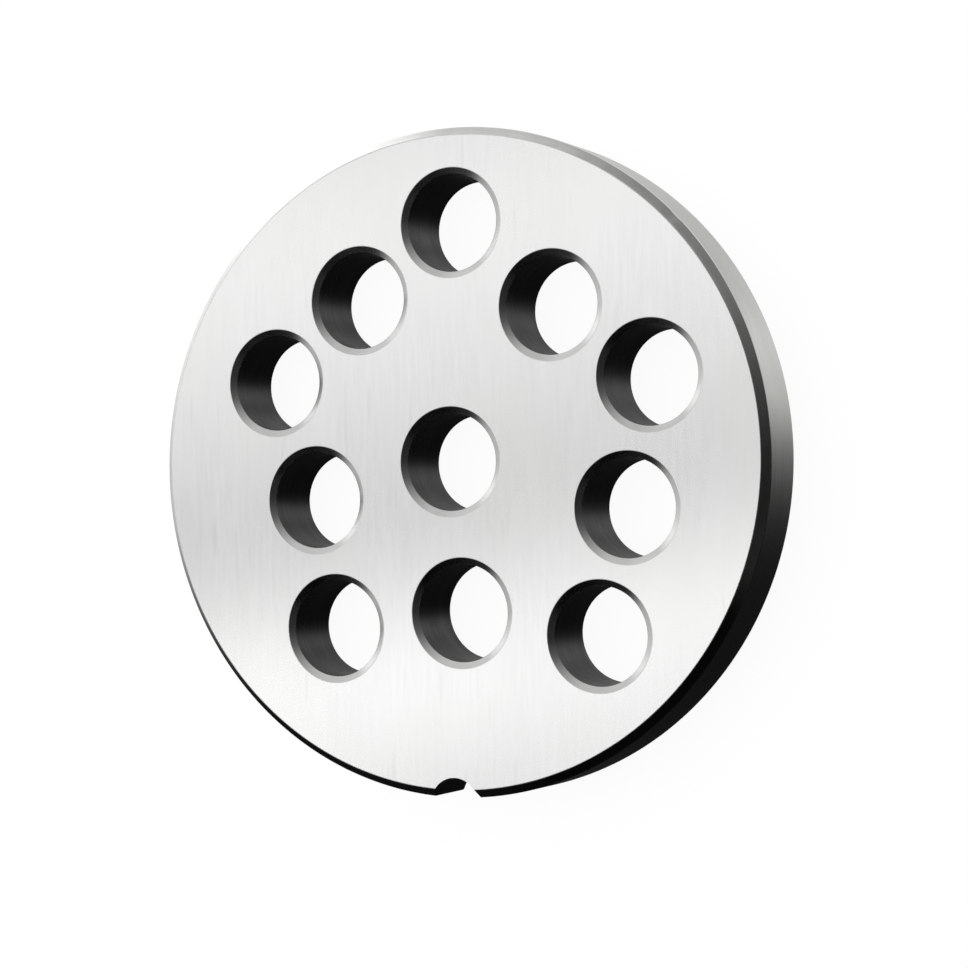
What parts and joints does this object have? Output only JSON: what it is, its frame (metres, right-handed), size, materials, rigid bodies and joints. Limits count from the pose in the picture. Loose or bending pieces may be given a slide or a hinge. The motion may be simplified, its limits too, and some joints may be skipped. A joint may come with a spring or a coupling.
{
  "type": "meat grinder plate",
  "caption": "Flat round steel plate with a centre bore, through feed holes and a locating notch in its rim, for the mouth of a meat grinder.",
  "frame": {"origin": "centre of the knife face, which the plate lies on, on the axis of the centre bore", "axes": "+Z along the bore's axis, out of the outlet face with the relieved hole mouths; -Y towards the locating notch"},
  "size_m": [0.082, 0.0819, 0.009],
  "materials": {
    "plate_steel": "ground on its faces and turned on its rim"
  },
  "bodies": {
    "root": {"grinder_plate": "plate_steel"}
  },
  "joints": []
}
